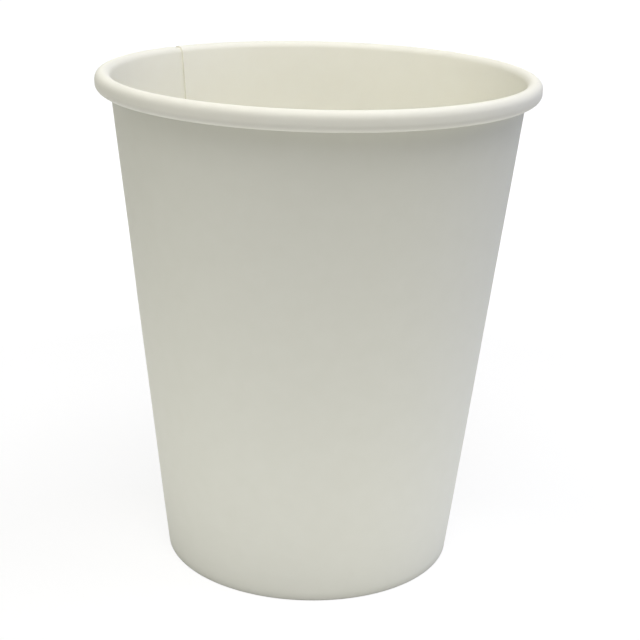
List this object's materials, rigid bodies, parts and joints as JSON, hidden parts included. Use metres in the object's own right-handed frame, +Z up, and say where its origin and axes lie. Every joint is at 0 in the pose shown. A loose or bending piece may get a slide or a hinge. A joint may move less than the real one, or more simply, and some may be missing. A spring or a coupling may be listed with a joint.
{
  "type": "paper coffee cup",
  "caption": "Plain white single-wall paper coffee cup: a tapered paperboard cone with a lapped side seam, a rolled rim, and a recessed base disc held in a folded hem.",
  "frame": {"origin": "centre of the foot, on the table plane", "axes": "+Z up along the cup's axis; -Y towards the viewer of the picture, +X to the right"},
  "size_m": [0.08, 0.08, 0.092],
  "materials": {
    "wall_paper": "white paperboard, matt outside, thin clear coating inside",
    "base_paper": "white paperboard, thin clear coating on the top face"
  },
  "bodies": {
    "root": {"side_wall": "wall_paper", "base_disc": "base_paper"}
  },
  "joints": []
}
